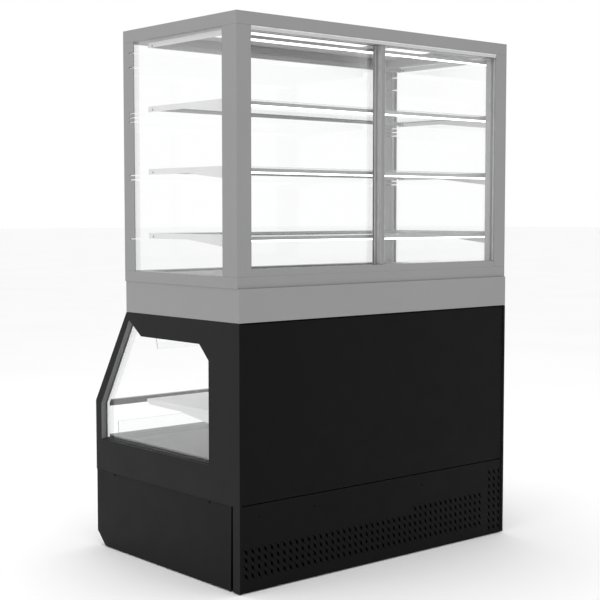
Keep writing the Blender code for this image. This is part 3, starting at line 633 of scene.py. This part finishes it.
def honeycomb(low, high, lip_y, lip_z):
    """Hexagonal cells across the outlet, which slopes from the lip up to the front of the canopy's box."""
    margin, lift, depth = 0.005, 0.0003, 0.0025
    radius = 0.0060
    hole = 0.82 * radius
    slope = Vector((0, low.y - lip_y, high.z - lip_z))
    length = slope.length - margin
    rise = slope.normalized()
    out = Vector((0, rise.z, -rise.y))
    start = Vector((0, lip_y, lip_z)) + rise * margin + out * lift
    across = radius * math.sqrt(3)
    rows = int((length - radius) / (1.5 * radius))
    columns = int((high.x - low.x) / across) - 1
    turns = [math.radians(30 + 60 * k) for k in range(6)]
    bm = bmesh.new()
    known = {}

    def place(x, v):
        return start + Vector((x, 0, 0)) + rise * v

    def shared_corner(x, v):
        key = (round(x * 1e5), round(v * 1e5))
        if key not in known:
            known[key] = bm.verts.new(place(x, v))
        return known[key]

    for row in range(rows):
        for column in range(columns):
            x = low.x + across * (column + 0.75 + 0.5 * (row % 2))
            v = radius * (1.0 + 1.5 * row)
            outer = [shared_corner(x + radius * math.cos(t), v + radius * math.sin(t)) for t in turns]
            inner = [bm.verts.new(place(x + hole * math.cos(t), v + hole * math.sin(t))) for t in turns]
            for k in range(6):
                m = (k + 1) % 6
                bm.faces.new((outer[k], outer[m], inner[m], inner[k]))
    thicken(piece("air_honeycomb", bm, BLACK_PLASTIC), depth, 1.0)


# ---------------------------------------------------------------- cooling
def fin_pack(name, node, pitch, tube_rows, tube_z):
    """Finned coil in place of a plain block: upright fins, end plates and copper tubes with their bends."""
    low, high = (Vector(corner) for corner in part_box(node))
    bend, tube_radius = 0.012, 0.0048
    end_gap, half_fin, fin_inset = 0.002, 0.00015, 0.001
    margin_y, margin_z = 0.012, 0.014
    overrun, bend_reach = 0.002, 0.0045
    x0, x1 = low.x + bend, high.x - bend
    bm = bmesh.new()
    for x in steps(x0 + end_gap, x1 - end_gap, pitch)[1:-1]:
        fin_low = (x - half_fin, low.y + fin_inset, low.z + fin_inset)
        block(bm, fin_low, (x + half_fin, high.y - fin_inset, high.z - fin_inset))
    piece(name + "_fins", bm, FINS, replaced=[node])
    bm = bmesh.new()
    for x in (x0, x1 - SHEET):
        block(bm, (x, low.y, low.z), (x + SHEET, high.y, high.z))
    piece(name + "_end_plates", bm, GALVANISED, bevel=0.0003)
    depth = high.y - low.y - 2 * margin_y
    ys = steps(low.y + margin_y, high.y - margin_y, depth / max(tube_rows - 1, 1))
    zs = steps(low.z + margin_z, high.z - margin_z, tube_z)
    for row, y in enumerate(ys):
        points = []
        for step, z in enumerate(zs):
            ends = [(x0 - overrun, y, z), (x1 + overrun, y, z)]
            if step % 2:
                ends.reverse()
            out = -1 if ends[1][0] < ends[0][0] else 1
            points += ends
            if step + 1 < len(zs):
                points.append((ends[1][0] + out * bend_reach, y, (z + zs[step + 1]) / 2))
        serpentine(f"{name}_tube_{row + 1}", points, tube_radius)


def serpentine(name, points, radius):
    """A pipe of straight runs. Every third point is the far side of the half-round bend between two runs."""
    steps_per_bend = 8
    smooth = []
    for i, point in enumerate(points):
        if i % 3 == 2:
            a, b, c = (Vector(points[i - 1]), Vector(point), Vector(points[i + 1]))
            middle = (a + c) / 2
            out = b - middle
            up = a - middle
            for k in range(1, steps_per_bend):
                t = math.pi * k / steps_per_bend
                smooth.append(middle + up * math.cos(t) + out * math.sin(t))
        else:
            smooth.append(Vector(point))
    curve = pipe_curve(name, radius)
    spline = curve.splines.new("POLY")
    spline.points.add(len(smooth) - 1)
    for point, place in zip(spline.points, smooth):
        point.co = (*place, 1.0)
    fit_pipe(curve)


def pipework():
    """Discharge, suction and liquid lines between the compressor, the coils and the well."""
    pot_low, pot_high = (Vector(corner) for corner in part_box("compressor"))
    coil_low, coil_high = (Vector(corner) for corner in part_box("condenser_coil"))
    x, y, top = (pot_low.x + pot_high.x) / 2, (pot_low.y + pot_high.y) / 2, pot_high.z
    tube(
        "discharge_line",
        [
            (x + 0.045, y, top - 0.016), (x + 0.052, y, top + 0.018), (x + 0.085, y - 0.03, top + 0.028),
            (x + 0.30, y - 0.20, top + 0.028), (coil_low.x - 0.03, coil_low.y + 0.022, top + 0.024),
            (coil_low.x + 0.012, coil_low.y + 0.022, coil_high.z - 0.016),
        ],
        0.0040,
    )
    tube(
        "suction_line",
        [
            (x - 0.045, y, top - 0.016), (x - 0.052, y + 0.004, top + 0.020),
            (x - 0.050, y + 0.030, top + 0.034), (x - 0.046, y + 0.060, top + 0.052),
        ],
        0.0055,
    )
    tube(
        "liquid_line",
        [
            (coil_low.x + 0.012, coil_low.y + 0.022, coil_low.z + 0.016),
            (coil_low.x - 0.04, coil_low.y + 0.026, 0.040), (0.06, -0.10, 0.034),
            (0.00, 0.02, 0.034), (-0.06, 0.12, 0.060), (-0.09, 0.15, 0.150), (-0.09, 0.15, 0.242),
        ],
        0.0032,
    )
    filter_drier()


def filter_drier():
    """Copper drier in the liquid line: a turned drum that narrows to the pipe at both ends."""
    centre, direction = (0.03, -0.04, 0.034), Vector((0.06, -0.12, 0.0)).normalized()
    half, radius, neck, neck_radius = 0.075 / 2, 0.011, 0.012, 0.004
    profile = [(neck_radius, -half - neck), (radius, -half), (radius, half), (neck_radius, half + neck)]
    bm = bmesh.new()
    revolve(bm, profile, centre, direction, 20)
    piece("filter_drier", bm, COPPER, bevel=0.0008, smooth=35)


# ---------------------------------------------------------------- glazing, lamps and fastenings
def pane_outline(node):
    """Outline of an end window's pane in the YZ plane, counter-clockwise, seen from +X."""
    mesh = NODES[node].data
    edge_x = max(v.co.x for v in mesh.vertices)
    points = {(round(v.co.y, 5), round(v.co.z, 5)) for v in mesh.vertices if abs(v.co.x - edge_x) < 1e-5}
    middle = Vector((sum(p[0] for p in points), sum(p[1] for p in points))) / len(points)
    return sorted(points, key=lambda p: math.atan2(p[1] - middle.y, p[0] - middle.x))


def window_liners():
    """Trim that glows white as painted light, near-black along the sill, and a thin gasket round each end
    window, and a bead down its front and sloped edges.
    """
    joint, recess = 0.0004, 0.0006
    bead_width, gasket_width, trim_width = 0.0012, 0.0016, 0.0014
    touch, gasket_depth, bead_start = 0.0002, 0.0016, 0.0018
    for side, sign in SIDES.items():
        hole = inset(pane_outline("end_window_" + side), -joint)
        low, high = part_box("end_window_" + side)
        panel_low, panel_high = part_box("end_panel_" + side)
        outer_face = max(abs(panel_low[0]), abs(panel_high[0])) - recess
        inner_face = min(abs(panel_low[0]), abs(panel_high[0])) + recess
        pane_out, pane_in = max(abs(low[0]), abs(high[0])), min(abs(low[0]), abs(high[0]))

        def place(u, v, w, sign=sign):
            return (sign * w, u, v)

        first = min(range(len(hole)), key=lambda i: hole[i][0] + hole[i][1])
        run = [first, first - 1, first - 2]
        bead = inset(hole, bead_width)
        band = [hole[i] for i in run] + [bead[i] for i in run[::-1]]
        bm = bmesh.new()
        prism(bm, band, pane_out + bead_start, outer_face, place)
        piece("window_bead_" + side, bm, BEAD, bevel=0.0003)
        bm = bmesh.new()
        ring(bm, hole, inset(hole, gasket_width), pane_out + touch, pane_out + gasket_depth, place)
        piece("window_gasket_" + side, bm, GASKET, bevel=0.0002)
        bm = bmesh.new()
        ring(bm, hole, inset(hole, trim_width), inner_face, pane_in - touch, place)
        piece("window_trim_" + side, bm, TRIM, bevel=0.0002)


def half_round(y, top, half_width, drop):
    """Section of a cover that hangs from its flat top."""
    turns = [math.pi * k / 10 for k in range(11)]
    return [(y + half_width * math.cos(t), top - drop * math.sin(t)) for t in turns]


def lamp_strip(name, x, y, top, width=0.007, drop=0.005):
    """An opal half-round cover under a rail, with its end caps."""
    proud, cap_length = 0.0006, 0.003
    bm = bmesh.new()
    prism(bm, half_round(y, top, width / 2, drop), -x, x, along_x)
    piece(name, bm, LAMP, smooth=40)
    bm = bmesh.new()
    for sign in SIDES.values():
        ends = sorted((sign * x, sign * (x + cap_length)))
        prism(bm, half_round(y, top, width / 2 + proud, drop + proud), ends[0], ends[1], along_x)
    piece(name + "_caps", bm, BRACKET, smooth=40)


def lamps():
    """One strip under the rear rail of each shelf frame and of the light frame, and one in the well."""
    end_margin, from_rear = 0.0065, 0.0107
    for name in RAILED_FRAMES:
        high = Vector(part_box(name)[1])
        rail_depth = 0.0248 if name == "light_frame" else 0.0178
        lamp_strip("lamp_" + name, high.x - end_margin, high.y - from_rear, high.z - rail_depth)
    high = Vector(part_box("air_deflector")[1])
    end_margin, behind = 0.02, 0.014
    lamp_strip("lamp_well", high.x - end_margin, high.y + behind, high.z, width=0.016, drop=0.009)


def rivets():
    """A rivet near each end of every bracket, on both of its faces."""
    from_front, from_rear, from_top = 0.025, 0.024, 0.0115
    radius, height = 0.0034, 0.0013
    bm = bmesh.new()
    for name in RAILED_FRAMES:
        low, high = (Vector(corner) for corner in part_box(name))
        for sign in SIDES.values():
            for y in (low.y + from_front, high.y - from_rear):
                for face, way in ((high.x, sign), (high.x - BRACKET_THICKNESS, -sign)):
                    dome(bm, (sign * face, y, high.z - from_top), (way, 0, 0), radius, height)
    piece("bracket_rivets", bm, RIVET, smooth=40)


def screws():
    """Button-head screws in the skirt panels and the rear grille."""
    from_front, from_rear, from_top = 0.112, 0.111, 0.006
    bm = bmesh.new()
    skirt_low, skirt_high = (Vector(corner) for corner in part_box("end_skirt_right"))
    for sign in SIDES.values():
        for y in (skirt_low.y + from_front, skirt_high.y - from_rear):
            place = (sign * skirt_high.x, y, skirt_high.z - from_top)
            dome(bm, place, (sign, 0, 0), radius=0.0040, height=0.0016, recess=0.0010)
    grille_high = Vector(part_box("rear_grille")[1])
    grille_from_top = 0.039
    for x in (0.5265, 0.3015, -0.1860):
        place = (x, grille_high.y, grille_high.z - grille_from_top)
        dome(bm, place, (0, 1, 0), radius=0.0034, height=0.0014, recess=0.0009)
    piece("panel_screws", bm, SCREW, smooth=40)


def ceiling():
    """Grey liner under the roof with a long and a short opal lamp, and a lining inside the top frame, painted
    lighter than the frame as painted light on its shaded inner faces.
    """
    high = Vector(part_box("top_frame")[1])
    deck_low, deck_high = (Vector(corner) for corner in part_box("upper_deck"))
    front, rear = deck_low.y, deck_high.y
    roof, flange, gap = 0.0085, 0.0030, 0.0002
    under = high.z - roof
    bottom, floor = under - flange, under - flange + SHEET
    tray = [
        (front, under), (front, bottom), (rear, bottom), (rear, under),
        (rear - SHEET, under), (rear - SHEET, floor), (front + SHEET, floor), (front + SHEET, under),
    ]
    bm = bmesh.new()
    prism(bm, tray, deck_low.x, deck_high.x, along_x)
    piece("ceiling_liner", bm, CEILING_GREY)

    lamp_front, lamp_rear, lamp_depth = -0.020, 0.190, 0.0080
    top = under - flange - gap
    bm = bmesh.new()
    for start, end in ((-0.480, -0.300), (-0.170, 0.510)):
        block(bm, (start, lamp_front, under - lamp_depth), (end, lamp_rear, top))
    piece("ceiling_lamps", bm, CEILING_LAMP, bevel=0.0015)

    # the lining is painted lighter than the frame, as painted light on the frame's shaded inner faces
    thin, bottom = 0.0008, high.z - 0.0386
    end = thin + gap
    bm = bmesh.new()
    block(bm, (deck_low.x, front, bottom), (deck_high.x, front + thin, top))
    block(bm, (deck_low.x, rear - thin, bottom), (deck_high.x, rear, top))
    for x in (deck_low.x, deck_high.x - thin):
        block(bm, (x, front + end, bottom), (x + thin, rear - end, top))
    piece("head_lining", bm, LINING_GREY)


def head_seal():
    """Seal strip with two lips, along the top of the upper door track, painted pale as a painted highlight
    along the track's top edge.
    """
    low, high = (Vector(corner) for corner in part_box("door_track_top"))
    gap, lip_reach, groove = 0.0001, 0.0007, 0.0002
    back, face = high.y + gap, high.y + lip_reach
    bottom, top = high.z - 0.0042, high.z - 0.0004
    middle = (bottom + top) / 2
    lips = [
        (back, bottom), (face - groove, bottom), (face, bottom + groove),
        (face, middle - groove), (face - groove, middle), (face, middle + groove),
        (face, top - groove), (face - groove, top), (back, top),
    ]
    bm = bmesh.new()
    prism(bm, lips, low.x, high.x, along_x)
    piece("head_seal", bm, SEAL_PALE)


def glazing_tape():
    """Tape between each end glass and its front post, with gaps at the slots; its outer face is painted
    near-white as light in the shaded glazing channel, its inner face grey.
    """
    low, high = (Vector(corner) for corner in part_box("front_post_right"))
    rebate, gap, thickness, reach = 0.0015, 0.0001, 0.0003, 0.0480
    inner = low.x + rebate
    levels = sorted({round(v.co.z, 4) for v in NODES["front_post_right"].data.vertices})
    bm = bmesh.new()
    for side, end in (("left", 0.0026), ("right", 0.0186)):
        sign = SIDES[side]
        faces = sorted((sign * (inner + gap), sign * (inner + gap + thickness)))
        for bottom, top in zip(levels[::2], levels[1::2]):
            block(bm, (faces[0], high.y - reach, bottom), (faces[1], high.y - end, top))
    piece("glazing_tape", bm, TAPE)


def deck_angles():
    """Painted angles that close the gap between the well deck and the end panels; their faces that look along
    X, chiefly the upright leg, are painted near-black as painted shade.
    """
    high = Vector(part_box("deck_pan")[1])
    grille = Vector(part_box("return_air_grille")[0])
    wall = Vector(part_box("tub")[1]).x + 0.0004
    overlap, flat_bottom, flat_top = 0.0030, 0.0002, 0.0010
    thin, upright_depth, upright_top = 0.0003, 0.0160, 0.0001
    bm = bmesh.new()
    for sign in SIDES.values():
        flat = sorted((sign * (high.x - overlap), sign * wall))
        block(bm, (flat[0], grille.y, high.z + flat_bottom), (flat[1], high.y, high.z + flat_top))
        upright = sorted((sign * (wall - thin), sign * wall))
        upright_low = (upright[0], grille.y, high.z - upright_depth)
        block(bm, upright_low, (upright[1], high.y, high.z + upright_top))
    piece("deck_angles", bm, ANGLE, bevel=0.0002)


def skirt_backings():
    """Near-black folded angle behind the gap between each skirt panel and the rear leg beside it, a dark
    sheet that paints the shade in the gap.
    """
    low, high = (Vector(corner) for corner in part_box("end_skirt_right"))
    sheet, leg, margin = 0.0010, 0.0040, 0.003
    face, front, rear = low.x - 0.0002, high.y - 0.016, high.y + 0.0095
    angle = [
        (face, front), (face, rear), (face - sheet, rear), (face - sheet, front + sheet),
        (face - leg, front + sheet), (face - leg, front),
    ]
    bm = bmesh.new()
    for sign in SIDES.values():
        prism(bm, [(sign * x, y) for x, y in angle], low.z + margin, high.z - margin, along_z)
    piece("skirt_backings", bm, GRILLE_BLACK)


def return_guard():
    """Dark guard of crossed bars under the return grille, which keeps scraps off the fans."""
    low, high = (Vector(corner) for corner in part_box("return_air_grille"))
    pitch, half_rib, half_bar = 0.012, 0.0042, 0.0030
    rib_bottom, rib_top = low.z - 0.0060, low.z - 0.0052
    bar_bottom, bar_top = low.z - 0.0051, low.z - 0.0044
    us = steps(low.x + 0.004, high.x - 0.004, pitch)
    vs = steps(low.y + 0.012, high.y - 0.006, pitch)
    bm = bmesh.new()
    for u in us:
        block(bm, (u - half_rib, vs[0], rib_bottom), (u + half_rib, vs[-1], rib_top))
    for v in vs:
        block(bm, (us[0], v - half_bar, bar_bottom), (us[-1], v + half_bar, bar_top))
    piece("return_guard", bm, BLACK_PLASTIC)


def door_seals():
    """Brush seal down the outer edge of each door, and one on the inner door where the two doors meet."""
    gap, carrier, bristles = 0.0002, 0.0006, 0.0012
    past_edge, width_inside = 0.0016, 0.0045
    for side, sign in SIDES.items():
        low, high = (Vector(corner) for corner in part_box("door_glass_" + side))
        x = sign * max(abs(low.x), abs(high.x))
        start, end = sorted((x + sign * past_edge, x - sign * width_inside))
        section = brush(high.y + gap, high.y + carrier, high.y + bristles, start, end, 5)
        bm = bmesh.new()
        prism(bm, section, low.z + 0.011, high.z - 0.008, along_z)
        piece("door_seal_" + side, bm, BRUSH_SEAL, "door_" + side)

    low, high = (Vector(corner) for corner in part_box("door_stile_right"))
    outer_face = Vector(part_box("door_stile_left")[0]).y
    clearance, carrier, margin = 0.0006, 0.0010, 0.004
    start, end = low.x + 0.0020, low.x + 0.0050
    section = brush(high.y + gap, high.y + carrier, outer_face - clearance, start, end, 3)
    bm = bmesh.new()
    prism(bm, section, low.z + margin, high.z - margin, along_z)
    piece("meeting_seal", bm, BRUSH_SEAL, "door_right")


# ---------------------------------------------------------------- stage
def studio():
    """Pale floor, even white surroundings and two soft lights."""
    mesh = bpy.data.meshes.new("floor")
    reach, drop = 80.0, 0.0005
    corners = [(-reach, -reach, 0), (reach, -reach, 0), (reach, reach, 0), (-reach, reach, 0)]
    mesh.from_pydata(corners, [], [(0, 1, 2, 3)])
    floor = bpy.data.objects.new("floor", mesh)
    floor.location.z = -drop
    bpy.context.scene.collection.objects.link(floor)
    s = Surface("floor_pale")
    tone = s.blend(s.remap(s.noise(0.8, 2.0), 0.0, 1.0), (0.94, 0.94, 0.94), (0.96, 0.96, 0.96))
    mesh.materials.append(s.done(s.principled(Base_Color=tone, Roughness=0.9)))

    world = bpy.data.worlds.new("studio")
    bpy.context.scene.world = world
    world.use_nodes = True
    tree = world.node_tree
    tree.nodes.clear()
    output = tree.nodes.new("ShaderNodeOutputWorld")
    sky = tree.nodes.new("ShaderNodeBackground")
    sky.inputs["Color"].default_value = (1.0, 1.0, 1.0, 1.0)
    sky.inputs["Strength"].default_value = 1.0
    tree.links.new(sky.outputs[0], output.inputs["Surface"])

    middle = Vector((0, 0, 0.9))
    for name, place, size, energy in (
        ("soft_top", (0.3, 0.2, 4.2), 3.2, 40.0),
        ("soft_end", (4.2, -0.8, 2.2), 2.4, 13.0),
    ):
        data = bpy.data.lights.new(name, "AREA")
        data.shape = "DISK"
        data.size = size
        data.energy = energy
        light = bpy.data.objects.new(name, data)
        light.location = place
        aim = middle - Vector(place)
        light.rotation_euler = aim.to_track_quat("-Z", "Y").to_euler()
        bpy.context.scene.collection.objects.link(light)


def camera():
    """The photograph's viewing angle, fitted to the case's outline in it."""
    data = bpy.data.cameras.new("camera")
    data.lens = 77.51
    data.sensor_width = 36.0
    obj = bpy.data.objects.new("camera", data)
    obj.location = (2.9594, 3.4352, 1.1556)
    obj.rotation_euler = (math.radians(86.1298), 0.0, math.radians(139.4245))
    bpy.context.scene.collection.objects.link(obj)
    bpy.context.scene.camera = obj
    bpy.context.scene.view_settings.view_transform = "Standard"


# ---------------------------------------------------------------- assembly
finish_nodes()
rear_grille()
flat_grille(
    "return_grille_sheet", "return_air_grille", 0.016, 0.0060, 0.008, GRILLE_STEEL, "Z"
)
flat_grille("back_duct_sheet", "back_duct_panel", 0.028, 0.0045, 0.020, LINER, "Y")
canopy()
fin_pack("evaporator", "evaporator_coil", 0.005, 6, 0.022)
fin_pack("condenser", "condenser_coil", 0.0032, 2, 0.025)
pipework()
window_liners()
lamps()
rivets()
screws()
ceiling()
head_seal()
glazing_tape()
deck_angles()
return_guard()
skirt_backings()
door_seals()
studio()
camera()
